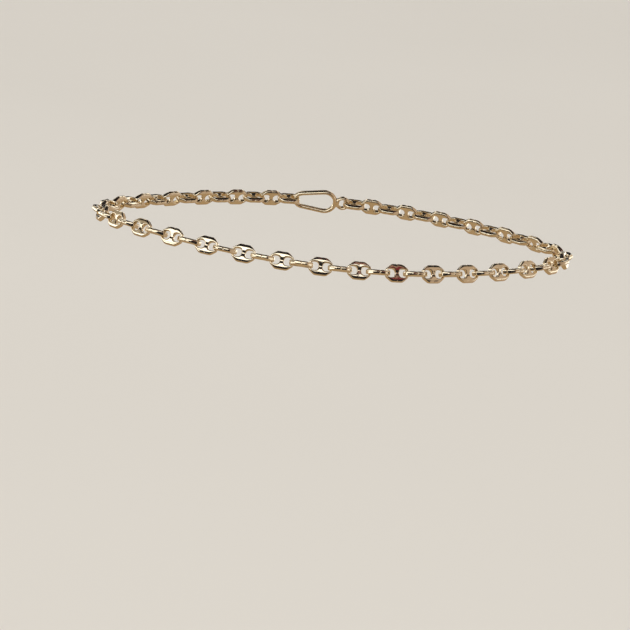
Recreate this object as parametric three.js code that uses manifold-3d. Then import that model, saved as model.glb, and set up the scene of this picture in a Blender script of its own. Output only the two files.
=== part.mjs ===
// A chain anklet of mariner links in worn form: a closed loop of identical two-hole links, turned a quarter
// turn one after the next, with one plain closed clasp in the middle of the far side.
// Millimetres. +Z up the leg, +X towards the heel, -Y the near (outer) side. The origin is the middle of
// the opening that the ankle passes through.
import * as THREE from 'three';
import Module from 'manifold-3d';

// one link
const LINK_LENGTH = 5.0; // along the chain
const LINK_WIDTH = 3.85; // across the flat of the link
const LINK_THICKNESS = 1.1;
const LONG_FLAT = 2.5; // straight part of each long side
const END_FLAT = 1.65; // straight part of each short end
const END_WALL = 0.42; // metal between a hole and the end it faces
const BRIDGE = 0.84; // metal between the two holes, at its narrowest
const HOLE_WIDTH = 1.77;
const HOLE_END_FLAT = 1.2; // straight part of the hole's outer end
const HOLE_CORNER = 0.36; // how far back that end's corners reach
const HOLE_FLARE = 0.4; // from the bridge to where the hole has its full width
const RIM_INSET = 0.16; // how far the flat face stands in from every edge
const WAIST = 0.94; // thickness across the middle of the long sides, as a share
const SADDLE = 0.66; // thickness of the bridge, as a share

// the chain
const LINKS = 61;
const SINGLE_LINKS = 41; // links that are pieces of their own, centred on the near side
const RUN_LINKS = 5; // links in each joined far-side run
const PITCH = 4.05; // centre to centre, drawn up so the links all but touch
const STUB_LENGTH = 0.46; // the touching place that joins two links of a run
const STUB_RADIUS = 0.2;

// the clasp
const CLASP_LENGTH = 13;
const CLASP_WALL = 0.95;
const CLASP_THICKNESS = 1.3;
const CLASP_RIM = 0.25;
const BELLY_RADIUS = 2.9; // outer radius where the clasp is widest
const TIP_RADIUS = 2.15; // outer radius of its narrower end
const BELLY_X = -0.7; // where the widest place is, along the clasp
const EYE_RADIUS = 1.65;
const EYE_REACH = 0.72; // from the eye's middle to the inner end of its opening

// the loop, as shares of its half length: an oval, blunt at the front of the ankle, narrower at the heel,
// that sways a little out of its plane
const HALF_WIDTH_SHARE = 0.608;
const EGG = 0.08;
const TAPER = -0.1;
const SWAY_TWICE = 0.008;
const SWAY_THRICE = 0.01;

// how the links sit on the leg, in degrees: the ankle widens downwards, so they lean back by LEAN, but the
// turned ones and the clasp hang forward to TURNED_LEAN
const LEAN = 23;
const TURNED_LEAN = 17;
const ROCK = 2; // the most that a link is rocked about the chain
const ROCK_STEP = 2.4; // radians of the wave of rocking from one link to the next

const GOLD = 0xd9bd8c;
const wasm = await Module();
wasm.setup();

const reach = LINK_LENGTH / 2 - END_WALL; // from a link's middle to its hole's outer end
const gap = 2 * reach - PITCH;
const claspSpan = CLASP_LENGTH - 2 * CLASP_WALL + 2 * reach - 2 * gap;
const loopLength = (LINKS - 1) * PITCH + claspSpan;

// ---- the loop ----
function ovalPoint(t) {
  const c = Math.cos(t);
  const s = Math.sin(t);
  return new THREE.Vector3(
    -c,
    -HALF_WIDTH_SHARE * s * (1 + EGG * c + TAPER * c * c),
    SWAY_TWICE * Math.sin(2 * t) + SWAY_THRICE * Math.sin(3 * t)
  );
}
const STEPS = 7200;
const oval = [];
const run = [0];
for (let i = 0; i <= STEPS; i++) {
  oval.push(ovalPoint((2 * Math.PI * i) / STEPS));
  if (i > 0) run.push(run[i - 1] + oval[i].distanceTo(oval[i - 1]));
}
const scale = loopLength / run[STEPS];

// the point at a length along the loop, counted from the middle of the near side towards the heel
function loopPoint(length) {
  let wanted = (length / scale + run[STEPS] / 4) % run[STEPS];
  if (wanted < 0) wanted += run[STEPS];
  let low = 0;
  let high = STEPS;
  while (high - low > 1) {
    const middle = (low + high) >> 1;
    if (run[middle] > wanted) high = middle;
    else low = middle;
  }
  const share = (wanted - run[low]) / (run[high] - run[low]);
  return oval[low].clone().lerp(oval[high], share).multiplyScalar(scale);
}

// the pose at a length along the loop: local X along the chain, local Y up (or outwards when turned)
function pose(length, turned, rock = 0, chord = 0.5) {
  const before = loopPoint(length - chord);
  const after = loopPoint(length + chord);
  const along = after.clone().sub(before).normalize();
  const level = along.clone().cross(new THREE.Vector3(0, 0, 1)).normalize();
  const lean = turned ? TURNED_LEAN : LEAN;
  const outward = level.applyAxisAngle(along, THREE.MathUtils.degToRad(-lean - rock));
  const up = outward.clone().cross(along).normalize();
  const y = turned ? outward : up;
  const z = turned ? up.clone().negate() : outward;
  const centre = chord > 1 ? before.add(after).multiplyScalar(0.5) : loopPoint(length);
  return new THREE.Matrix4().makeBasis(along, y, z).setPosition(centre);
}

// ---- the link ----
// a closed polygon moved outwards by a distance, corners mitred; points run counter-clockwise
function moved(points, distance) {
  return points.map((p, i) => {
    const a = points[(i + points.length - 1) % points.length];
    const b = points[(i + 1) % points.length];
    const u = new THREE.Vector2().subVectors(p, a).normalize();
    const v = new THREE.Vector2().subVectors(b, p).normalize();
    const n = new THREE.Vector2(u.y + v.y, -u.x - v.x).normalize();
    const stretch = 1 / Math.max(0.5, n.dot(new THREE.Vector2(u.y, -u.x)));
    return p.clone().addScaledVector(n, distance * stretch);
  });
}

function linkGeometry() {
  const half = LINK_LENGTH / 2;
  const side = LINK_WIDTH / 2;
  const flat = LONG_FLAT / 2;
  const end = END_FLAT / 2;
  const v = (x, y) => new THREE.Vector2(x, y);
  const outline = [
    v(0, -side), v(flat, -side), v(half, -end), v(half, end), v(flat, side),
    v(0, side), v(-flat, side), v(-half, end), v(-half, -end), v(-flat, -side),
  ];
  const w = HOLE_WIDTH / 2;
  const shoulder = BRIDGE / 2 + HOLE_FLARE;
  const hole = [
    v(BRIDGE / 2, 0), v(shoulder, -w), v(reach - HOLE_CORNER, -w), v(reach, -HOLE_END_FLAT / 2),
    v(reach, HOLE_END_FLAT / 2), v(reach - HOLE_CORNER, w), v(shoulder, w),
  ];
  const face = moved(outline, -RIM_INSET);
  const lip = moved(hole, RIM_INSET);
  const h = LINK_THICKNESS / 2;
  // spokes round one hole, counter-clockwise from the bridge: the hole's edge, its lip, the face, the rim
  const height = [SADDLE, 1, 1, 1, 1, 1, 1];
  const spokes = hole.map((p, j) => {
    const rows = [
      [p.x, p.y, 0],
      [lip[j].x, lip[j].y, h * height[j]],
    ];
    if (j === 0) rows.push([0, 0, h * SADDLE]);
    else {
      const o = outline[j - 1];
      const f = face[j - 1];
      rows.push([f.x, f.y, h * (o.x === 0 ? WAIST : 1)], [o.x, o.y, 0]);
    }
    return rows;
  });
  const positions = [];
  const triangle = (a, b, c, sx, sz) => {
    const order = sx * sz > 0 ? [a, b, c] : [a, c, b];
    for (const p of order) positions.push(sx * p[0], p[1], sz * p[2]);
  };
  for (const sx of [1, -1]) {
    for (const sz of [1, -1]) {
      for (let j = 0; j < spokes.length; j++) {
        const p = spokes[j];
        const q = spokes[(j + 1) % spokes.length];
        const bands = Math.min(p.length, q.length) - 1;
        for (let k = 0; k < bands; k++) {
          triangle(p[k], p[k + 1], q[k + 1], sx, sz);
          triangle(p[k], q[k + 1], q[k], sx, sz);
        }
      }
    }
  }
  const geometry = new THREE.BufferGeometry();
  geometry.setAttribute('position', new THREE.Float32BufferAttribute(positions, 3));
  geometry.computeVertexNormals();
  return geometry;
}

// ---- joining ----
function toSolid(geometry) {
  const p = geometry.getAttribute('position');
  const index = geometry.getIndex();
  const count = index ? index.count : p.count;
  const known = new Map();
  const vertices = [];
  const triangles = [];
  for (let i = 0; i < count; i++) {
    const k = index ? index.getX(i) : i;
    const key = [p.getX(k), p.getY(k), p.getZ(k)].map((c) => Math.round(c * 1e5)).join();
    if (!known.has(key)) {
      known.set(key, vertices.length / 3);
      vertices.push(p.getX(k), p.getY(k), p.getZ(k));
    }
    triangles.push(known.get(key));
  }
  const clean = [];
  for (let i = 0; i < triangles.length; i += 3) {
    const [a, b, c] = triangles.slice(i, i + 3);
    if (a !== b && b !== c && c !== a) clean.push(a, b, c);
  }
  const mesh = {
    numProp: 3,
    vertProperties: new Float32Array(vertices),
    triVerts: new Uint32Array(clean),
  };
  return new wasm.Manifold(new wasm.Mesh(mesh));
}

function fromSolid(solid) {
  const mesh = solid.getMesh();
  const geometry = new THREE.BufferGeometry();
  const points = new Float32Array(mesh.numVert * 3);
  for (let i = 0; i < mesh.numVert; i++) {
    for (let k = 0; k < 3; k++) points[3 * i + k] = mesh.vertProperties[mesh.numProp * i + k];
  }
  geometry.setAttribute('position', new THREE.BufferAttribute(points, 3));
  geometry.setIndex(new THREE.BufferAttribute(new Uint32Array(mesh.triVerts), 1));
  geometry.computeVertexNormals();
  return geometry;
}

// ---- the clasp ----
// a flat plate with softened edges and a hole, from two lists of points
function plate(outline, hole) {
  const shape = new THREE.Shape(outline);
  shape.holes.push(new THREE.Path(hole));
  const geometry = new THREE.ExtrudeGeometry(shape, {
    depth: CLASP_THICKNESS - 2 * CLASP_RIM,
    bevelEnabled: true,
    bevelThickness: CLASP_RIM,
    bevelSize: CLASP_RIM,
    bevelOffset: -CLASP_RIM,
    bevelSegments: 1,
    steps: 1,
  });
  geometry.translate(0, 0, CLASP_RIM - CLASP_THICKNESS / 2);
  return geometry;
}

// the outline that wraps a circle at x0 and a smaller one at x1
function wrapped(x0, r0, x1, r1, corners) {
  const turn = Math.acos((r0 - r1) / (x1 - x0));
  const points = [];
  for (let i = 0; i <= corners; i++) {
    const a = -turn + (2 * turn * i) / corners;
    points.push(new THREE.Vector2(x1 + r1 * Math.cos(a), r1 * Math.sin(a)));
  }
  for (let i = 0; i <= corners; i++) {
    const a = turn + ((2 * Math.PI - 2 * turn) * i) / corners;
    points.push(new THREE.Vector2(x0 + r0 * Math.cos(a), r0 * Math.sin(a)));
  }
  return points;
}

function claspGeometry() {
  const tip = CLASP_LENGTH / 2;
  const front = tip - TIP_RADIUS;
  const claw = plate(
    wrapped(BELLY_X, BELLY_RADIUS, front, TIP_RADIUS, 6),
    wrapped(BELLY_X, BELLY_RADIUS - CLASP_WALL, front, TIP_RADIUS - CLASP_WALL, 5)
  );
  const eyeX = -tip + EYE_RADIUS;
  const round = [];
  for (let i = 0; i < 12; i++) {
    const a = (Math.PI * (i + 0.5)) / 6;
    const r = EYE_RADIUS / Math.cos(Math.PI / 12);
    round.push(new THREE.Vector2(eyeX + r * Math.cos(a), r * Math.sin(a)));
  }
  const w = HOLE_WIDTH / 2;
  const left = -tip + CLASP_WALL;
  const right = eyeX + EYE_REACH;
  const opening = [
    new THREE.Vector2(left, -HOLE_END_FLAT / 2),
    new THREE.Vector2(left + HOLE_CORNER, -w),
    new THREE.Vector2(right - HOLE_CORNER, -w),
    new THREE.Vector2(right, -HOLE_END_FLAT / 2),
    new THREE.Vector2(right, HOLE_END_FLAT / 2),
    new THREE.Vector2(right - HOLE_CORNER, w),
    new THREE.Vector2(left + HOLE_CORNER, w),
    new THREE.Vector2(left, HOLE_END_FLAT / 2),
  ];
  const eye = plate(round, opening);
  return fromSolid(toSolid(claw).add(toSolid(eye)));
}

// ---- putting it together ----
const part = new THREE.Group();
part.name = 'anklet';
function add(name, geometry) {
  const mesh = new THREE.Mesh(
    geometry,
    new THREE.MeshStandardMaterial({ color: GOLD, metalness: 1, roughness: 0.18 })
  );
  mesh.name = name;
  part.add(mesh);
}

const link = linkGeometry();
const lastSingle = (SINGLE_LINKS - 1) / 2;
const lastLink = (LINKS - 1) / 2;
// links an odd number of places from the middle one lie flat; the others are turned edge outwards
const isTurned = (place) => place % 2 === 0;
const rock = (place) => ROCK * Math.sin(ROCK_STEP * place);
const placed = (place) => link.clone().applyMatrix4(pose(place * PITCH, isTurned(place), rock(place)));

for (let place = -lastSingle; place <= lastSingle; place++) {
  add(`link_${String(place + lastSingle + 1).padStart(2, '0')}`, placed(place));
}

function joinedRun(first, step) {
  let solid = null;
  for (let i = 0; i < RUN_LINKS; i++) {
    const place = first + step * i;
    const next = toSolid(placed(place));
    solid = solid ? solid.add(next) : next;
    if (i > 0) {
      const stub = new THREE.CylinderGeometry(STUB_RADIUS, STUB_RADIUS, STUB_LENGTH, 3);
      stub.rotateZ(Math.PI / 2);
      stub.applyMatrix4(pose((place - step / 2) * PITCH, false));
      solid = solid.add(toSolid(stub));
    }
  }
  return fromSolid(solid);
}
const runs = (lastLink - lastSingle) / RUN_LINKS;
let number = 1;
for (const step of [1, -1]) {
  for (let i = 0; i < runs; i++) {
    add(`back_run_${number}`, joinedRun(step * (lastSingle + 1 + RUN_LINKS * i), step));
    number += 1;
  }
}

const clasp = claspGeometry();
clasp.applyMatrix4(pose(loopLength / 2, false, TURNED_LEAN - LEAN, CLASP_LENGTH / 2 - CLASP_WALL));
add('clasp', clasp);

export default part;
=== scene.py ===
# %% [markdown]
# # A chain anklet of two-hole links
# The real object is a slim closed chain, worn round an ankle. Every link is a small flat octagon of pale
# gold metal, pierced by two holes with a narrow bridge between them, and each link is turned a quarter
# turn from the next. It could be modelled as one long strip with a repeated texture, but then the metal
# would have no thickness and no light would run round its edges. So this lesson makes one link as a true
# surface, and lays it along the loop sixty-one times.
#
# The solid model is loaded first, as a fixed frame. Its box is kept, to compare with the finished look.

# %% Load the fixed frame
import math

import bmesh
import bpy
import numpy as np
from mathutils import Matrix, Vector


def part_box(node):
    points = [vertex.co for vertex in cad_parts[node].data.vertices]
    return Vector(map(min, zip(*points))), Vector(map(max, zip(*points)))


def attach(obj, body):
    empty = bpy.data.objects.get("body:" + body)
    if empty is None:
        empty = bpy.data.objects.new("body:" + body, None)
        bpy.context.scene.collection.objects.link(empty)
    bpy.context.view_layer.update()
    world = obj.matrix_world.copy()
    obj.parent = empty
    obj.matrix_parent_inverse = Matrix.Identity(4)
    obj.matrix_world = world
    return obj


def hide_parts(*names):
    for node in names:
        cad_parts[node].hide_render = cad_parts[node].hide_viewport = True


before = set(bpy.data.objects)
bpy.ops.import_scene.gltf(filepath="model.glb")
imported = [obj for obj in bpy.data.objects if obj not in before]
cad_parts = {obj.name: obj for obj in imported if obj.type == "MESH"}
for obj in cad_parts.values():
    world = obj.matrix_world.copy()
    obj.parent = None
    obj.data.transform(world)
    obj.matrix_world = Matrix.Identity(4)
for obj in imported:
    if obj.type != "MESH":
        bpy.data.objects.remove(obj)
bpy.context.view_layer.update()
MM = 0.001
print("solid pieces:", len(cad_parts))

# %% [markdown]
# ## The camera
# The chain is looked at from its outer side and from a little above, with the head of the camera tipped
# by a few degrees, so that the chain runs downhill. A long lens from 60 cm keeps the near links and the
# far ones almost the same size, as in close product work. The three directions of a camera are worked
# out from two angles: where it looks, what is to its right, and what is above it.

# %% Camera
CAMERA_AZIMUTH = math.radians(-5.457)
CAMERA_ELEVATION = math.radians(12.327)
CAMERA_ROLL = math.radians(6.957)
CAMERA_DISTANCE = 0.6
CAMERA_LENS = 157.54
AIM_RIGHT = -1.97 * MM
AIM_UP = -18.63 * MM


def camera_matrix():
    """Looks from a point on a sphere round the origin to a point near it, then rolls about that line."""
    sine = math.sin(CAMERA_AZIMUTH)
    cosine = math.cos(CAMERA_AZIMUTH)
    flat = math.cos(CAMERA_ELEVATION)
    back = Vector((sine * flat, -cosine * flat, math.sin(CAMERA_ELEVATION)))
    place = back * CAMERA_DISTANCE
    aim = Vector((AIM_RIGHT * cosine, AIM_RIGHT * sine, AIM_UP))
    sight = (aim - place).normalized()
    level = sight.cross(Vector((0, 0, 1))).normalized()
    upright = level.cross(sight)
    right = level * math.cos(CAMERA_ROLL) + upright * math.sin(CAMERA_ROLL)
    above = upright * math.cos(CAMERA_ROLL) - level * math.sin(CAMERA_ROLL)
    turned = Matrix((right, above, -sight)).transposed().to_4x4()
    turned.translation = place
    return turned


camera = bpy.data.objects.new("camera", bpy.data.cameras.new("camera"))
bpy.context.scene.collection.objects.link(camera)
camera.data.sensor_width = 36
camera.data.lens = CAMERA_LENS
camera.data.clip_start = 0.01
camera.data.clip_end = 50
camera.matrix_world = camera_matrix()
bpy.context.scene.camera = camera
print("camera at, m:", [round(c, 3) for c in camera.matrix_world.translation])

# %% [markdown]
# ## The loop
# Worn, the chain takes the outline of the ankle: an oval, long from front to heel, that dips and rises
# a little. It could be a curve object with a chain of arrays on it, but a modifier would bend the hard
# metal of each link. Here the oval is a formula, measured along its length once, and each link is then
# set on it stiff. All sizes are the solid model's own, in metres.

# %% The oval and how to walk along it
LINKS = 61
PITCH = 4.05 * MM
LINK_LENGTH = 5.0 * MM
END_WALL = 0.42 * MM
CLASP_LENGTH = 13 * MM
CLASP_WALL = 0.95 * MM
HALF_WIDTH_SHARE = 0.608
EGG = 0.08
TAPER = -0.1
SWAY_TWICE = 0.008
SWAY_THRICE = 0.01
REACH = LINK_LENGTH / 2 - END_WALL
CLASP_SPAN = CLASP_LENGTH - 2 * CLASP_WALL + 2 * REACH - 2 * (2 * REACH - PITCH)
LOOP_LENGTH = (LINKS - 1) * PITCH + CLASP_SPAN


def oval(turn):
    """An ellipse, made blunter at one end by a cosine, that sways out of its plane by two sine waves."""
    c = np.cos(turn)
    s = np.sin(turn)
    across = -HALF_WIDTH_SHARE * s * (1 + EGG * c + TAPER * c * c)
    sway = SWAY_TWICE * np.sin(2 * turn) + SWAY_THRICE * np.sin(3 * turn)
    return np.stack([-c, across, sway], axis=-1)


oval_points = oval(np.linspace(0, 2 * math.pi, 7201))
oval_run = np.concatenate([[0], np.cumsum(np.linalg.norm(np.diff(oval_points, axis=0), axis=1))])
oval_scale = LOOP_LENGTH / oval_run[-1]


def loop_point(length):
    """The point at a length along the oval, counted from the middle of the near side towards the heel."""
    wanted = (length / oval_scale + oval_run[-1] / 4) % oval_run[-1]
    return np.array([np.interp(wanted, oval_run, oval_points[:, k]) for k in range(3)]) * oval_scale


print("loop, mm:", round(1000 * LOOP_LENGTH, 2))

# %% [markdown]
# ## How a link sits
# Each link has three directions: along the chain, away from the leg, and up the leg. The leg widens
# downwards, so the outward direction leans back by twenty-three degrees. Every second link is turned a
# quarter turn about the chain. Those links and the clasp hang forward to a lean of seventeen degrees, as
# the slack in the holes lets them. A small wave rocks the links by up to two degrees, because no worn
# chain lies quite even. The result is a place and a turning for each link, and nothing is bent.

# %% Place and turning at a length along the loop
LEAN = math.radians(23)
TURNED_LEAN = math.radians(17)
ROCK = math.radians(2)
ROCK_STEP = 2.4
SHORT_CHORD = 0.5 * MM


def seat(length, turned, rock=0.0, chord=SHORT_CHORD):
    """Turning and place. The turning's columns are the chain's direction and two square to it."""
    before = loop_point(length - chord)
    after = loop_point(length + chord)
    along = (after - before) / np.linalg.norm(after - before)
    level = np.cross(along, [0.0, 0.0, 1.0])
    level = level / np.linalg.norm(level)
    angle = -((TURNED_LEAN if turned else LEAN) + rock)
    outward = level * math.cos(angle) + np.cross(along, level) * math.sin(angle)
    up = np.cross(outward, along)
    second = outward if turned else up
    third = -up if turned else outward
    place = (before + after) / 2 if chord > SHORT_CHORD else loop_point(length)
    return np.stack([along, second, third], axis=1), place


def link_seat(number):
    """The seat of a link, numbered from the middle of the near side: odd ones lie flat, even ones stand."""
    return seat(number * PITCH, number % 2 == 0, ROCK * math.sin(ROCK_STEP * number))


low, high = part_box("link_21")
apart = np.linalg.norm(link_seat(0)[1] - np.array((low + high) / 2))
print("middle link is off its solid by, mm:", round(1000 * apart, 3))

# %% [markdown]
# ## The flat outline of a link
# Seen from its face, a link is an octagon with two round holes, which leave a bridge between them that is
# narrowest in its middle. A sharp polygon would look cut with scissors, while the real link is pressed and
# tumbled, so its corners are soft. A soft corner comes from blending distances: the distance to each
# straight side is measured, and the smallest of them is taken with a soft minimum instead of a hard one.
# The blend's width sets how round the corner is.

# %% Distances to straight sides, softly joined
LINK_WIDTH = 3.85 * MM
LINK_THICKNESS = 1.1 * MM
LONG_FLAT = 2.5 * MM
END_FLAT = 1.65 * MM
OUTLINE_SOFT = 0.09 * MM


def soft_least(distances, width):
    """Soft minimum: minus the width times the log of the sum of the exponentials of minus each share."""
    shares = -np.stack(distances) / width
    most = shares.max(axis=0)
    return -width * (most + np.log(np.exp(shares - most).sum(axis=0)))


def depth_inside(x, y, corners, width):
    """How far a point is inside a convex polygon, whose corners run counter-clockwise, softly joined."""
    sides = []
    for (ax, ay), (bx, by) in zip(corners, np.roll(corners, -1, axis=0)):
        length = math.hypot(bx - ax, by - ay)
        sides.append(((bx - ax) * (y - ay) - (by - ay) * (x - ax)) / length)
    return soft_least(sides, width)


def both_ways(corners):
    """A list of corners above the middle line, with their mirror images below it, counter-clockwise."""
    upper = np.array(corners)
    return np.concatenate([upper, upper[::-1] * [1, -1]])


end_x, end_y = LINK_LENGTH / 2, END_FLAT / 2
side_x, side_y = LONG_FLAT / 2, LINK_WIDTH / 2
OUTLINE = both_ways([(end_x, end_y), (side_x, side_y), (-side_x, side_y), (-end_x, end_y)])


def link_outline(x, y):
    """How far a point is inside the link's outline."""
    return depth_inside(x, y, OUTLINE, OUTLINE_SOFT)


print("outline sides:", len(OUTLINE))

# %% [markdown]
# The holes are rounder than a polygon and squarer than an ellipse, so a superellipse fits them. The next
# link's end bar lies in each hole, nearly as wide as the hole is, and it must not cut into the metal. That
# is why the hole is a hair longer than the chain's spacing asks for: the corners that a round end takes
# away are given back by its length.

# %% Two round holes
BRIDGE = 0.84 * MM
HOLE_WIDTH = 1.78 * MM
HOLE_POWER = 2.5
HOLE_EASE = 0.055 * MM
HOLE_MIDDLE = (REACH + HOLE_EASE + BRIDGE / 2) / 2
HOLE_HALF_LENGTH = (REACH + HOLE_EASE - BRIDGE / 2) / 2


def hole_distance(x, y):
    """How far a point is outside the right hole: a superellipse's radius, less one, by its half width."""
    along = np.abs((x - HOLE_MIDDLE) / HOLE_HALF_LENGTH) ** HOLE_POWER
    across = np.abs(2 * y / HOLE_WIDTH) ** HOLE_POWER
    return ((along + across) ** (1 / HOLE_POWER) - 1) * HOLE_WIDTH / 2


print("hole, mm:", round(2000 * HOLE_HALF_LENGTH, 2), "by", round(1000 * HOLE_WIDTH, 2))

# %% [markdown]
# ## The thickness of a link
# The faces and the edges are all but flat, and where they meet the metal is rounded. So the height of the
# surface depends on how near the closest edge is: it rises steeply, turns over in a wide shoulder, and then
# stays level. A quarter circle would make the edge a round wire, and a bevel would make a hard crease.
# A superellipse lies between the two. The shoulder is broad along the two sides and thin at the ends and
# round the holes, where there is little metal. The bridge lies in a valley between the two side bars, and
# pressing has left the bars faintly crowned and a trace thinner in the middle of the link, at the waist.

# %% Height of the face over the middle plane
EDGE_POWER = 4.0
RIM_ON_SIDES = 0.9 * MM
RIM_AT_ENDS = 0.24 * MM
RIM_AT_HOLES = 0.2 * MM
RIM_BLEND = 0.08
ENDS_BEGIN = 1.0 * MM
ENDS_FULL = 2.1 * MM
VALLEY_FLOOR = 0.07 * MM
VALLEY_TOP = 0.44 * MM
VALLEY_DEPTH = 0.38
VALLEY_FADES = (1.0 * MM, 1.5 * MM)
WAIST_LENGTH = 0.7 * MM
WAIST_DEPTH = 0.04
CROWN_MIDDLE = 1.35 * MM
CROWN_HALF = 0.5 * MM
CROWN = 0.035


def smooth_step(value, low, high):
    """Nothing below low, one above high, and three squares less two cubes of the share between them."""
    share = np.clip((value - low) / (high - low), 0, 1)
    return share * share * (3 - 2 * share)


def rim_share(x, y):
    """The distance to the nearest edge as a share of the rim's width there, softly joined: 1 where flat."""
    broad = RIM_ON_SIDES + (RIM_AT_ENDS - RIM_ON_SIDES) * smooth_step(np.abs(x), ENDS_BEGIN, ENDS_FULL)
    outline = link_outline(x, y) / broad
    holes = [hole_distance(side * x, y) / RIM_AT_HOLES for side in (1, -1)]
    return np.clip(soft_least([outline] + holes, RIM_BLEND), 0, 1)


def shoulder(share):
    """A quarter superellipse: squared across the face, and raised to a higher power up the edge."""
    return (1 - (1 - share) ** 2) ** (1 / EDGE_POWER)


def link_height(x, y):
    """Half the thickness, times the shoulder over the rim, the valley, the waist and the crown."""
    rim = shoulder(rim_share(x, y))
    beside = 1 - smooth_step(np.abs(x), *VALLEY_FADES)
    valley = 1 - VALLEY_DEPTH * beside * (1 - smooth_step(np.abs(y), VALLEY_FLOOR, VALLEY_TOP))
    waist = 1 - WAIST_DEPTH * np.exp(-((x / WAIST_LENGTH) ** 2))
    off_crown = ((np.abs(y) - CROWN_MIDDLE) / CROWN_HALF) ** 2
    crown = 1 - CROWN * off_crown * smooth_step(np.abs(y), 0, VALLEY_TOP)
    return LINK_THICKNESS / 2 * rim * valley * waist * crown


middle = link_height(np.array([0.0]), np.array([0.0]))[0]
print("bridge thickness, mm:", round(2000 * float(middle), 2))

# %% [markdown]
# ## One half of a link as a grid
# A plate with two holes has no simple grid, but half of it does: it is a ring round one hole. The first
# parameter is the angle round the hole. The second goes from the hole's rim, 0, out to the outline or to
# the middle line, 1. Where a ray leaves the hole, and where it meets the outline, is found by halving
# the distance again and again, for all the rays at once. Rows are packed very close at both rims, where
# the surface turns over fastest, by taking a cosine share of a cosine share.

# %% The ring of points round one hole
RAYS_OUTSIDE = 44
RAYS_MIDDLE = 16
ROWS = 16
HALVINGS = 36
PAST_A_HOLE = 6 * MM
PAST_A_PIECE = 12 * MM


def first_edge(inside, x0, direction, far):
    """Halves an interval again and again on every ray, to find where a test changes from true to false."""
    near = np.zeros(len(direction))
    away = np.full(len(direction), far)
    for _ in range(HALVINGS):
        half = (near + away) / 2
        still = inside(x0 + half * direction[:, 0], half * direction[:, 1])
        near = np.where(still, half, near)
        away = np.where(still, away, half)
    return (near + away) / 2


def eased(share):
    """Half of one less the cosine of a half turn's share: slow at both ends."""
    return (1 - np.cos(math.pi * share)) / 2


def ring_grid(middle_x, inner_test, outer_test, cut_x, corner_y, side=1):
    """Points on rays round a hole: rim plus an eased share of the way to the outline or cutting line."""
    reach = abs(cut_x - middle_x)
    corner = math.atan2(corner_y, -reach)
    outside = np.linspace(-corner, corner, RAYS_OUTSIDE + 1)
    crossings = np.linspace(corner_y, -corner_y, RAYS_MIDDLE + 1)[1:-1]
    through = np.arctan2(crossings, -reach)
    angles = np.concatenate([outside, through])
    rays = np.stack([side * np.cos(angles), np.sin(angles)], axis=1)
    inner = first_edge(inner_test, middle_x, rays, PAST_A_HOLE)
    outer = first_edge(outer_test, middle_x, rays, PAST_A_PIECE)
    share = eased(eased(np.linspace(0, 1, ROWS + 1)))
    length = inner[:, None] + (outer - inner)[:, None] * share
    x = middle_x + length * rays[:, :1]
    x[RAYS_OUTSIDE + 1 :, -1] = cut_x
    x[[0, RAYS_OUTSIDE], -1] = cut_x
    return x, length * rays[:, 1:]


def top_on_line(depth, x0):
    """The height at which the line x = x0 leaves a shape, found on one ray that points straight up."""
    upwards = np.array([[0.0, 1.0]])
    return float(first_edge(lambda x, y: depth(x, y) > 0, x0, upwards, PAST_A_HOLE)[0])


link_x, link_y = ring_grid(
    HOLE_MIDDLE,
    lambda x, y: hole_distance(x, y) < 0,
    lambda x, y: (link_outline(x, y) > 0) & (x > 0),
    0.0,
    top_on_line(link_outline, 0.0),
)
print("grid:", link_x.shape, " widest, mm:", round(2000 * float(link_y.max()), 3))

# %% [markdown]
# ## From grids to one skin
# The grid gives the upper skin on one side of the bridge. Turning it over in both directions gives the
# other three quarters. Where they meet, each point is there twice, so doubles are merged, and then the
# normals are worked out afresh, because a mirrored copy has its faces the wrong way round. A few cells on
# the line where the halves meet are so thin that merging folds them into triangles. Only faces with four
# corners are kept, which leaves slits up to 0.0004 mm wide there, in the link and in the clasp. The cell
# counts their edges, so that this isn't hidden.

# %% Skin from quarters
SAME_POINT = 2e-7


def grid_faces(rays, rows):
    """Four corners for each cell of a grid that closes on itself along its first parameter."""
    ray, row = np.meshgrid(np.arange(rays), np.arange(rows - 1), indexing="ij")
    after = (ray + 1) % rays
    corners = [ray * rows + row, ray * rows + row + 1, after * rows + row + 1, after * rows + row]
    return np.stack([c.ravel() for c in corners], axis=1)


def joined_skin(grids):
    """Merges the points of (x, y, z) grids. Returns arrays of vertices and faces, all facing outwards."""
    shell = bmesh.new()
    for points in grids:
        faces = grid_faces(points.shape[0], points.shape[1])
        part = bpy.data.meshes.new("part")
        part.from_pydata(points.reshape(-1, 3), [], faces)
        shell.from_mesh(part)
        bpy.data.meshes.remove(part)
    bmesh.ops.remove_doubles(shell, verts=shell.verts, dist=SAME_POINT)
    bmesh.ops.recalc_face_normals(shell, faces=shell.faces)
    shell.verts.index_update()
    vertices = np.array([v.co for v in shell.verts])
    faces = np.array([[v.index for v in face.verts] for face in shell.faces if len(face.verts) == 4])
    shell.free()
    edges = np.concatenate([faces[:, [corner, (corner + 1) % 4]] for corner in range(4)])
    uses = np.unique(np.sort(edges, axis=1), axis=0, return_counts=True)[1]
    print("skin:", len(vertices), "points,", len(faces), "faces, open edges:", int((uses != 2).sum()))
    return vertices, faces


def face_height(height, x, y):
    """The height on a ring grid, nothing on the hole's rim and on the outline so that the skin closes."""
    z = height(x, y)
    z[:, 0] = 0
    z[: RAYS_OUTSIDE + 1, -1] = 0
    return z


link_z = face_height(link_height, link_x, link_y)
quarters = [np.stack([a * link_x, link_y, b * link_z], axis=-1) for a in (1, -1) for b in (1, -1)]
link_vertices, link_faces = joined_skin(quarters)

# %% [markdown]
# ## What the skin remembers
# Wear follows the shape: rims lose their gloss first. The ends of the holes, where the next link's bar
# sits, get painted shade, a deeper tint that stands for the shade between two links, and are a little
# rougher.
# A texture can't know where those places are, but the formula does. So two numbers are stored with
# every point: how near it is to an edge, and how near it is to a joint. The finish reads them.

# %% Rim wear and painted joint shade for every point, and a piece from arrays
JOINT_SHADE_SIZE = 0.45 * MM


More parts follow.
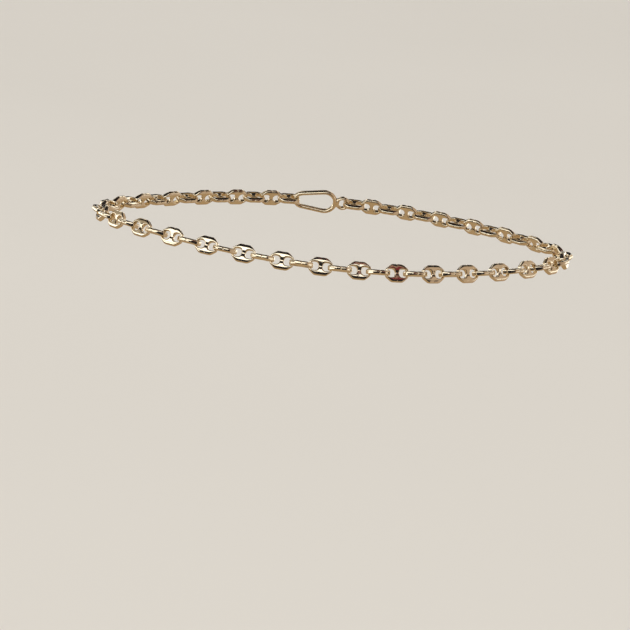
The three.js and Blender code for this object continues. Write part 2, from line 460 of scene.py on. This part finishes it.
def link_wear_and_shade(vertices):
    """Rim is one minus the share of the rim's width. Joint shade, painted shade, is a bell round each
    hole's outer end.
    """
    x = vertices[:, 0]
    y = vertices[:, 1]
    rim = 1 - rim_share(x, y)
    # painted shade: a bell round each hole's outer end, where the next link's bar sits
    joint_shade = np.exp(-(((np.abs(x) - REACH) / JOINT_SHADE_SIZE) ** 2) - (y / JOINT_SHADE_SIZE) ** 2)
    return rim, joint_shade


def put_piece(name, vertices, faces, rim, joint_shade, finish):
    """Makes a smooth-shaded object at the origin, with its place in its mesh, its rim wear and its painted
    joint shade.
    """
    mesh = bpy.data.meshes.new(name)
    mesh.from_pydata(vertices, [], faces)
    mesh.polygons.foreach_set("use_smooth", np.ones(len(faces), dtype=bool))
    for label, values in (("rim", rim), ("joint_shade", joint_shade)):
        mesh.attributes.new(label, "FLOAT", "POINT").data.foreach_set("value", values.astype(np.float32))
    mesh.materials.append(finish)
    mesh.update()
    piece = bpy.data.objects.new(name, mesh)
    bpy.context.scene.collection.objects.link(piece)
    return piece


link_rim, link_joint_shade = link_wear_and_shade(link_vertices)
print("points on a rim:", int((link_rim > 0).sum()), "of", len(link_rim))

# %% [markdown]
# ## Effects that both finishes share
# Links and clasp are the same metal from two different tools, so three effects are made once as node
# groups and used twice with other values. Tone is the faint unevenness of a plated colour. Marks are
# the hairlines and tiny dents that tumbling leaves. The third joins the rim wear and the painted shade
# at the joints into one mask.

# %% Helpers for node groups
TONE_SCALE = 150.0
MARKS_SCALE = 3000.0
PATCH_SCALE = 1400.0


def new_group(name, inputs, outputs):
    """A shader node group with named sockets. Returns the group and its two end nodes."""
    group = bpy.data.node_groups.new(name, "ShaderNodeTree")
    for label, kind, value in inputs:
        socket = group.interface.new_socket(label, in_out="INPUT", socket_type=kind)
        if value is not None:
            socket.default_value = value
    for label, kind in outputs:
        group.interface.new_socket(label, in_out="OUTPUT", socket_type=kind)
    return group, group.nodes.new("NodeGroupInput"), group.nodes.new("NodeGroupOutput")


def sum_node(tree, operation, *values, clamp=False):
    """A Math node. Each value is a number or the socket that feeds it. Returns the result's socket."""
    node = tree.nodes.new("ShaderNodeMath")
    node.operation = operation
    node.use_clamp = clamp
    for slot, value in zip(node.inputs, values):
        if isinstance(value, (int, float)):
            slot.default_value = value
        else:
            tree.links.new(value, slot)
    return node.outputs[0]


def noise_node(tree, vector, scale, detail, roughness=0.5):
    """A Noise Texture on a vector. Returns the socket of its value."""
    node = tree.nodes.new("ShaderNodeTexNoise")
    node.inputs["Detail"].default_value = detail
    node.inputs["Roughness"].default_value = roughness
    tree.links.new(vector, node.inputs["Vector"])
    if isinstance(scale, (int, float)):
        node.inputs["Scale"].default_value = scale
    else:
        tree.links.new(scale, node.inputs["Scale"])
    return node.outputs["Fac"]


def mix_colours(tree, share, first, second):
    """A Mix node for colours, where each colour is a tuple or a socket. Returns the result's socket."""
    node = tree.nodes.new("ShaderNodeMix")
    node.data_type = "RGBA"
    for slot, value in ((node.inputs[0], share), (node.inputs[6], first), (node.inputs[7], second)):
        if isinstance(value, (int, float, tuple)):
            slot.default_value = value
        else:
            tree.links.new(value, slot)
    return node.outputs[2]


print("helpers ready")

# %% Tone: a plated colour that drifts
tone_group, tone_in, tone_out = new_group(
    "plated tone",
    [
        ("Vector", "NodeSocketVector", None),
        ("Light", "NodeSocketColor", (0.9, 0.8, 0.62, 1)),
        ("Deep", "NodeSocketColor", (0.85, 0.7, 0.48, 1)),
        ("Scale", "NodeSocketFloat", TONE_SCALE),
    ],
    [("Colour", "NodeSocketColor")],
)
drift = noise_node(tone_group, tone_in.outputs["Vector"], tone_in.outputs["Scale"], 3.0)
fine_scale = sum_node(tone_group, "MULTIPLY", tone_in.outputs["Scale"], 9.0)
mottle = noise_node(tone_group, tone_in.outputs["Vector"], fine_scale, 2.0)
broad_share = sum_node(tone_group, "MULTIPLY", drift, 0.65)
together = sum_node(tone_group, "MULTIPLY_ADD", mottle, 0.35, broad_share)
stretched = sum_node(tone_group, "MULTIPLY_ADD", together, 2.6, -0.8, clamp=True)
toned = mix_colours(tone_group, stretched, tone_in.outputs["Light"], tone_in.outputs["Deep"])
tone_group.links.new(toned, tone_out.inputs["Colour"])
print("tone nodes:", len(tone_group.nodes))

# %% Marks: hairlines and tiny dents
marks_group, marks_in, marks_out = new_group(
    "tumbling marks",
    [
        ("Vector", "NodeSocketVector", None),
        ("Scale", "NodeSocketFloat", MARKS_SCALE),
        ("Hairlines", "NodeSocketFloat", 0.5),
    ],
    [("Height", "NodeSocketFloat"), ("Dull", "NodeSocketFloat")],
)
stretch = marks_group.nodes.new("ShaderNodeMapping")
stretch.inputs["Rotation"].default_value = (0.5, 0.3, 0.7)
stretch.inputs["Scale"].default_value = (1.0, 0.14, 1.0)
marks_group.links.new(marks_in.outputs["Vector"], stretch.inputs["Vector"])
lines = noise_node(marks_group, stretch.outputs["Vector"], marks_in.outputs["Scale"], 4.0, 0.65)
ridge = sum_node(marks_group, "ABSOLUTE", sum_node(marks_group, "SUBTRACT", lines, 0.5))
hairline = sum_node(marks_group, "MULTIPLY_ADD", ridge, -14.0, 1.0, clamp=True)
swell_scale = sum_node(marks_group, "MULTIPLY", marks_in.outputs["Scale"], 0.3)
swell = noise_node(marks_group, marks_in.outputs["Vector"], swell_scale, 1.0)
cut = sum_node(marks_group, "MULTIPLY", hairline, marks_in.outputs["Hairlines"])
height = sum_node(marks_group, "SUBTRACT", swell, sum_node(marks_group, "MULTIPLY", cut, 0.12))
marks_group.links.new(height, marks_out.inputs["Height"])
marks_group.links.new(cut, marks_out.inputs["Dull"])
print("marks nodes:", len(marks_group.nodes))

# %% Wear and painted shade: worn rims, and painted shade at the joints, broken up by noise
wear_and_shade_group, wear_and_shade_in, wear_and_shade_out = new_group(
    "rim wear and joint shade",
    [
        ("Vector", "NodeSocketVector", None),
        ("Rim", "NodeSocketFloat", 0.0),
        ("Rub", "NodeSocketFloat", 0.0),
        ("Amount", "NodeSocketFloat", 0.5),
    ],
    [("Mask", "NodeSocketFloat")],
)
patches = noise_node(wear_and_shade_group, wear_and_shade_in.outputs["Vector"], PATCH_SCALE, 3.0, 0.6)
crest = sum_node(wear_and_shade_group, "POWER", wear_and_shade_in.outputs["Rim"], 2.0)
rim_part = sum_node(wear_and_shade_group, "MULTIPLY", crest, 0.5)
# the joint bell is painted shade, the rim share is wear
worn_and_shaded = sum_node(wear_and_shade_group, "MULTIPLY_ADD", wear_and_shade_in.outputs["Rub"], 0.8, rim_part)
uneven = sum_node(wear_and_shade_group, "MULTIPLY_ADD", patches, 1.6, -0.2, clamp=True)
broken = sum_node(wear_and_shade_group, "MULTIPLY", worn_and_shaded, uneven)
masked = sum_node(wear_and_shade_group, "MULTIPLY", broken, wear_and_shade_in.outputs["Amount"])
wear_and_shade_group.links.new(sum_node(wear_and_shade_group, "MINIMUM", masked, 1.0), wear_and_shade_out.inputs["Mask"])
print("wear nodes:", len(wear_and_shade_group.nodes))

# %% [markdown]
# ## The gold finish
# Polished gold has almost no colour of its own in the dark places: it is a tinted mirror. So the shader
# is fully metallic, its base colour is the tint of the mirror, and the roughness is small. What makes
# it look real is that nothing is quite even: the tint drifts, hairlines catch light, and worn rims are
# a little duller than the faces. Rims and the joints, where the next link's bar sits, also take a deeper
# tint: worn at the rims, painted shade at the joints. The clasp is from another tool, and so slightly
# softer and deeper.

# %% Finish function, and the two finishes
WORN_AND_SHADED_TINT = 0.82
MARKS_DULL = 0.08
WEAR_AND_SHADE_DULL = 0.16
BUMP_DEPTH = 0.00003
LINK_LIGHT = (0.92, 0.83, 0.66, 1.0)
LINK_DEEP = (0.87, 0.74, 0.53, 1.0)
CLASP_LIGHT = (0.91, 0.8, 0.61, 1.0)
CLASP_DEEP = (0.85, 0.7, 0.48, 1.0)


def gold_finish(name, light, deep, base_roughness, hairlines, wear_and_shade_amount, bump_strength):
    """A metallic shader: tint from tone, wear and painted joint shade, roughness from marks and that mask,
    bump from marks.
    """
    material = bpy.data.materials.new(name)
    material.use_nodes = True
    tree = material.node_tree
    shader = tree.nodes["Principled BSDF"]
    shader.inputs["Metallic"].default_value = 1.0
    place = tree.nodes.new("ShaderNodeTexCoord").outputs["Object"]

    def grouped(group, **values):
        node = tree.nodes.new("ShaderNodeGroup")
        node.node_tree = group
        tree.links.new(place, node.inputs["Vector"])
        for label, value in values.items():
            if isinstance(value, (float, tuple)):
                node.inputs[label].default_value = value
            else:
                tree.links.new(value, node.inputs[label])
        return node

    def stored(label):
        node = tree.nodes.new("ShaderNodeAttribute")
        node.attribute_name = label
        return node.outputs["Fac"]

    tone = grouped(tone_group, Light=light, Deep=deep, Scale=TONE_SCALE)
    marks = grouped(marks_group, Scale=MARKS_SCALE, Hairlines=hairlines)
    wear_and_shade = grouped(wear_and_shade_group, Rim=stored("rim"), Rub=stored("joint_shade"), Amount=wear_and_shade_amount)
    # a deeper tint: wear at the rims, painted shade at the joints
    worn_and_shaded_tint = tuple(WORN_AND_SHADED_TINT * c for c in deep[:3]) + (1.0,)
    tint = mix_colours(tree, wear_and_shade.outputs["Mask"], tone.outputs["Colour"], worn_and_shaded_tint)
    tree.links.new(tint, shader.inputs["Base Color"])
    dulled = sum_node(tree, "MULTIPLY_ADD", marks.outputs["Dull"], MARKS_DULL, base_roughness)
    rough = sum_node(tree, "MULTIPLY_ADD", wear_and_shade.outputs["Mask"], WEAR_AND_SHADE_DULL, dulled, clamp=True)
    tree.links.new(rough, shader.inputs["Roughness"])
    bump = tree.nodes.new("ShaderNodeBump")
    bump.inputs["Strength"].default_value = bump_strength
    bump.inputs["Distance"].default_value = BUMP_DEPTH
    tree.links.new(marks.outputs["Height"], bump.inputs["Height"])
    tree.links.new(bump.outputs["Normal"], shader.inputs["Normal"])
    return material


# roughness, hairlines, wear with painted joint shade, and bump come after the two tints
link_gold = gold_finish("link_gold", LINK_LIGHT, LINK_DEEP, 0.1, 0.5, 0.5, 0.2)
clasp_gold = gold_finish("clasp_gold", CLASP_LIGHT, CLASP_DEEP, 0.16, 0.9, 0.7, 0.35)
print("finishes:", link_gold.name, clasp_gold.name)

# %% [markdown]
# ## The single links
# The near side has forty-one links that are each a piece of their own. Copying one object forty-one times
# with its own turning would be quick, but a finished piece here stays unturned with its place in its
# mesh, so that the patterns of the finish lie in one space for the whole chain. The arrays are turned
# and moved instead, all points at once.

# %% Forty-one links
SINGLES = 20


def link_at(number):
    """The link's points, turned by its seat's matrix and moved to its place."""
    turning, place = link_seat(number)
    return link_vertices @ turning.T + place


def belongs(piece, *nodes):
    """Ties a piece to the one body, and hides the solids that it stands for."""
    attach(piece, "root")
    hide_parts(*nodes)


for number in range(-SINGLES, SINGLES + 1):
    node = f"link_{number + SINGLES + 1:02d}"
    link = put_piece(f"gold_{node}", link_at(number), link_faces, link_rim, link_joint_shade, link_gold)
    belongs(link, node)
print("single links:", 2 * SINGLES + 1)

# %% [markdown]
# ## The far side
# Behind the leg the links go on in the same way. There they come in four runs of five, each one piece,
# as in the solid model, but without the tiny stubs that join its links. A run is the same arrays put one
# after the next, with the face numbers moved up by the number of points that came before.

# %% Four runs of five
RUN = 5


def run_piece(name, numbers):
    """Joins the arrays of several links into one piece."""
    count = len(link_vertices)
    vertices = np.concatenate([link_at(number) for number in numbers])
    faces = np.concatenate([link_faces + count * step for step in range(len(numbers))])
    rim = np.tile(link_rim, len(numbers))
    joint_shade = np.tile(link_joint_shade, len(numbers))
    return put_piece(name, vertices, faces, rim, joint_shade, link_gold)


for index in range(4):
    side = 1 if index < 2 else -1
    first = SINGLES + 1 + RUN * (index % 2)
    run = run_piece(f"gold_back_run_{index + 1}", [side * (first + step) for step in range(RUN)])
    belongs(run, f"back_run_{index + 1}")
print("links in runs:", 4 * RUN)

# %% [markdown]
# ## The clasp
# The fastener is hidden, so it stays plain: one flat closed piece like a lobster claw, with a long
# opening and a small eye. Its outline is what a string would make round two circles, joined softly to a
# third circle for the eye. Like a link it has two openings, so it too is cut into two rings, at its neck.

# %% Distances for the clasp
CLASP_THICKNESS = 1.3 * MM
CLASP_RIM = 0.5 * MM
NECK_SOFT = 0.12 * MM
BELLY = (-0.7 * MM, 2.9 * MM)
TIP = (4.35 * MM, 2.15 * MM)
EYE = (-4.85 * MM, 1.65 * MM)
# the two ends where the end links sit in the clasp, painted shade there
SHADED_JOINT_X = 5.55 * MM
NECK_X = -3.46 * MM
CLAW_MIDDLE = 1.4 * MM
EYE_SOFT = 0.08 * MM
EYE_OPENING = MM * both_ways([(-4.13, 0.6), (-4.49, 0.885), (-5.19, 0.885), (-5.55, 0.6)])


def string_depth(x, y, inset):
    """How far a point is inside the shape that a string makes round the belly and tip circles."""
    (x0, r0), (x1, r1) = BELLY, TIP
    run_length = x1 - x0
    lean = (r0 - r1) / run_length
    flat = math.sqrt(1 - lean * lean)
    across = np.abs(y)
    along = x - x0
    share = along * flat - across * lean
    at_belly = np.hypot(along, across) - r0
    at_tip = np.hypot(along - run_length, across) - r1
    between = across * flat + along * lean - r0
    return -inset - np.where(share < 0, at_belly, np.where(share > flat * run_length, at_tip, between))


def clasp_outline(x, y):
    """The deeper of the claw and the eye, softly joined, so that the neck between them is filled."""
    eye = EYE[1] - np.hypot(x - EYE[0], y)
    return -soft_least([-string_depth(x, y, 0.0), -eye], NECK_SOFT)


def eye_distance(x, y):
    """How far a point is outside the eye's opening."""
    return -depth_inside(x, y, EYE_OPENING, EYE_SOFT)


def clasp_edge(x, y):
    """The distance to the nearest edge of the clasp: outline, claw opening or eye."""
    openings = [-string_depth(x, y, CLASP_WALL), eye_distance(x, y)]
    return soft_least([clasp_outline(x, y)] + openings, RIM_BLEND * CLASP_RIM)


def clasp_height(x, y):
    """Half the thickness times a quarter ellipse over a broad rim, so that the bars are nearly round."""
    rise = np.clip(clasp_edge(x, y) / CLASP_RIM, 0, 1)
    return CLASP_THICKNESS / 2 * np.sqrt(1 - (1 - rise) ** 2)


print("clasp length, mm:", round(1000 * (TIP[0] + TIP[1] - EYE[0] + EYE[1]), 2))

# %% Clasp piece
neck_y = top_on_line(clasp_outline, NECK_X)
claw_x, claw_y = ring_grid(
    CLAW_MIDDLE,
    lambda x, y: string_depth(x, y, CLASP_WALL) > 0,
    lambda x, y: (clasp_outline(x, y) > 0) & (x > NECK_X),
    NECK_X,
    neck_y,
)
eye_x, eye_y = ring_grid(
    EYE[0],
    lambda x, y: eye_distance(x, y) < 0,
    lambda x, y: (clasp_outline(x, y) > 0) & (x < NECK_X),
    NECK_X,
    neck_y,
    side=-1,
)
claw_z = face_height(clasp_height, claw_x, claw_y)
eye_z = face_height(clasp_height, eye_x, eye_y)
halves = [np.stack([claw_x, claw_y, b * claw_z], axis=-1) for b in (1, -1)]
halves += [np.stack([eye_x, eye_y, b * eye_z], axis=-1) for b in (1, -1)]
clasp_vertices, clasp_faces = joined_skin(halves)
clasp_turning, clasp_place = seat(LOOP_LENGTH / 2, False, TURNED_LEAN - LEAN, CLASP_LENGTH / 2 - CLASP_WALL)
clasp_rim = 1 - np.clip(clasp_edge(clasp_vertices[:, 0], clasp_vertices[:, 1]) / CLASP_RIM, 0, 1)
# painted shade round the two places where the end links sit in the clasp
clasp_joint_shade = sum(
    np.exp(-(((clasp_vertices[:, 0] - x) / JOINT_SHADE_SIZE) ** 2) - (clasp_vertices[:, 1] / JOINT_SHADE_SIZE) ** 2)
    for x in (-SHADED_JOINT_X, SHADED_JOINT_X)
)
clasp_set = clasp_vertices @ clasp_turning.T + clasp_place
clasp = put_piece("gold_clasp", clasp_set, clasp_faces, clasp_rim, clasp_joint_shade, clasp_gold)
belongs(clasp, "clasp")
print("clasp set at, mm:", [round(1000 * float(c), 1) for c in clasp_place])

# %% [markdown]
# ## The floor
# The chain keeps its worn form and is held up, so the floor lies well below it. It is plain and pale. A
# perfectly even colour would look like an empty screen, so its tone drifts very slightly. Mirrored in
# the metal it would whiten every underside, so the metal doesn't see it.

# %% Floor
FLOOR_HEIGHT = -0.3
FLOOR_HALF = 9.0
FLOOR_DARK = (0.7, 0.66, 0.6, 1)
FLOOR_LIGHT = (0.74, 0.7, 0.64, 1)


def floor_finish():
    """A matt shader whose pale tone and roughness drift slowly with the place on the floor."""
    material = bpy.data.materials.new("pale_floor")
    material.use_nodes = True
    tree = material.node_tree
    shader = tree.nodes["Principled BSDF"]
    place = tree.nodes.new("ShaderNodeTexCoord").outputs["Object"]
    drifting = noise_node(tree, place, 1.5, 2.0)
    tone = mix_colours(tree, drifting, FLOOR_DARK, FLOOR_LIGHT)
    tree.links.new(tone, shader.inputs["Base Color"])
    tree.links.new(sum_node(tree, "MULTIPLY_ADD", drifting, 0.1, 0.8), shader.inputs["Roughness"])
    return material


floor_mesh = bpy.data.meshes.new("floor")
edge = FLOOR_HALF * np.array([[-1, -1], [1, -1], [1, 1], [-1, 1]])
floor_mesh.from_pydata(np.column_stack([edge, np.full(4, FLOOR_HEIGHT)]), [], [[0, 1, 2, 3]])
floor_mesh.materials.append(floor_finish())
floor = bpy.data.objects.new("floor", floor_mesh)
bpy.context.scene.collection.objects.link(floor)
floor.visible_glossy = False
print("floor at, m:", FLOOR_HEIGHT)

# %% [markdown]
# ## The light
# A mirror shows its surroundings, so lighting polished metal means arranging what it sees. A studio does
# it with white boards, black cards and a warm backdrop round the piece. Real boards would get in the way
# of other views, so they are painted on the sky instead, by direction: how far round, and how high. Low
# down the sky is tan, and a red and a purple card tint one or two links. Only mirrored rays see the
# boards. The floor is lit by a plain white sky and two large soft lamps.

# %% Boards on the sky
BLACK = (0.012, 0.011, 0.013, 1)
PLAIN_SKY = (0.93, 0.92, 0.9, 1)


def round_and_high(tree):
    """Degrees round from straight ahead of the chain, and degrees above the horizon, of a sky direction."""
    direction = tree.nodes.new("ShaderNodeTexCoord").outputs["Generated"]
    parts = tree.nodes.new("ShaderNodeSeparateXYZ")
    tree.links.new(direction, parts.inputs[0])
    backwards = sum_node(tree, "MULTIPLY", parts.outputs["Y"], -1.0)
    around = sum_node(tree, "DEGREES", sum_node(tree, "ARCTAN2", parts.outputs["X"], backwards))
    high = sum_node(tree, "DEGREES", sum_node(tree, "ARCSINE", parts.outputs["Z"]))
    return around, high


def window(tree, value, lowest, highest, soft):
    """One between two values and nothing outside them, with a smooth step of one width at each end."""
    steps = []
    for middle in (lowest, highest):
        step = tree.nodes.new("ShaderNodeMapRange")
        step.interpolation_type = "SMOOTHSTEP"
        step.inputs["From Min"].default_value = middle - soft / 2
        step.inputs["From Max"].default_value = middle + soft / 2
        tree.links.new(value, step.inputs["Value"])
        steps.append(step.outputs["Result"])
    return sum_node(tree, "SUBTRACT", steps[0], steps[1])


WHITE = (1.0, 0.98, 0.94)
TAN = (0.52, 0.38, 0.23)
CARD = (0.02, 0.016, 0.014)
# name, from and to in degrees round, from and to in degrees high, softness round and high, colour, strength
BOARDS = [
    ("low warm sky", -200, 200, -95, -22, 1, 10, TAN, 0.8),
    ("left ground", -200, -116, -78, -6, 8, 8, TAN, 0.8),
    ("right ground", 116, 200, -78, -6, 8, 8, TAN, 0.8),
    ("left back wall", -200, -130, 40, 52, 8, 6, TAN, 0.6),
    ("right back wall", 130, 200, 40, 52, 8, 6, TAN, 0.6),
    ("dim wall", -140, -76, -10, 35, 10, 5, (0.38, 0.33, 0.26), 1.0),
    ("left card", -102, -38, 9, 14, 4, 3, CARD, 1.0),
    ("left low light", -150, -50, -8, 9, 4, 3, WHITE, 1.9),
    ("big white board", -72, -1, 20, 44, 6, 3, WHITE, 1.9),
    ("left white board", -80, -50, 13, 24, 5, 3, WHITE, 1.8),
    ("board over the camera", -2, 24, 27, 44, 4, 3, WHITE, 1.7),
    ("purple card", 22, 29, 22, 46, 4, 4, (0.05, 0.02, 0.04), 1.0),
    ("purple ceiling", 15, 28, 46, 76, 4, 4, (0.12, 0.03, 0.05), 1.0),
    ("red card", 27, 38, 19, 44, 4, 3, (0.17, 0.018, 0.025), 1.0),
    ("pink ceiling", 28, 42, 47, 76, 4, 4, (0.45, 0.27, 0.22), 1.0),
    ("warm wall", 38, 142, -40, 45, 4, 6, (0.5, 0.39, 0.3), 1.0),
    ("right card", 27, 44, 2, 15, 4, 3, CARD, 1.0),
    ("right low light", 60, 120, -3, 6, 4, 3, WHITE, 1.4),
    ("right far low light", 120, 176, -14, 2, 4, 3, WHITE, 1.6),
    ("left back board", -172, -145, 20, 44, 6, 5, WHITE, 1.5),
    ("right back board", 145, 166, 20, 44, 6, 5, WHITE, 1.5),
]


def paint_sky():
    """Lays the boards over black, one after the other, each by its two windows multiplied."""
    world = bpy.data.worlds.new("studio")
    world.use_nodes = True
    tree = world.node_tree
    backdrop = tree.nodes["Background"]
    around, high = round_and_high(tree)
    seen = BLACK
    for _, left, right, bottom, top, soft_round, soft_high, colour, strength in BOARDS:
        across = window(tree, around, left, right, soft_round)
        upright = window(tree, high, bottom, top, soft_high)
        board = tuple(strength * c for c in colour) + (1.0,)
        seen = mix_colours(tree, sum_node(tree, "MULTIPLY", across, upright), seen, board)
    ray = tree.nodes.new("ShaderNodeLightPath")
    plain = mix_colours(tree, ray.outputs["Is Glossy Ray"], PLAIN_SKY, seen)
    tree.links.new(plain, backdrop.inputs["Color"])
    bpy.context.scene.world = world


paint_sky()
print("boards:", [board[0] for board in BOARDS])

# %% Two soft lamps for the floor
def soft_lamp(name, place, size, power):
    """A square area lamp that points at the origin, and that the metal doesn't mirror."""
    lamp = bpy.data.objects.new(name, bpy.data.lights.new(name, "AREA"))
    lamp.data.size = size
    lamp.data.energy = power
    lamp.location = place
    lamp.rotation_euler = (-Vector(place)).to_track_quat("-Z", "Y").to_euler()
    lamp.visible_glossy = False
    bpy.context.scene.collection.objects.link(lamp)


soft_lamp("key_lamp", (-0.9, -1.0, 1.5), 1.2, 6)
soft_lamp("fill_lamp", (1.2, -0.6, 1.2), 1.5, 3)
bpy.context.scene.view_settings.view_transform = "Standard"
print("lamps: 2")
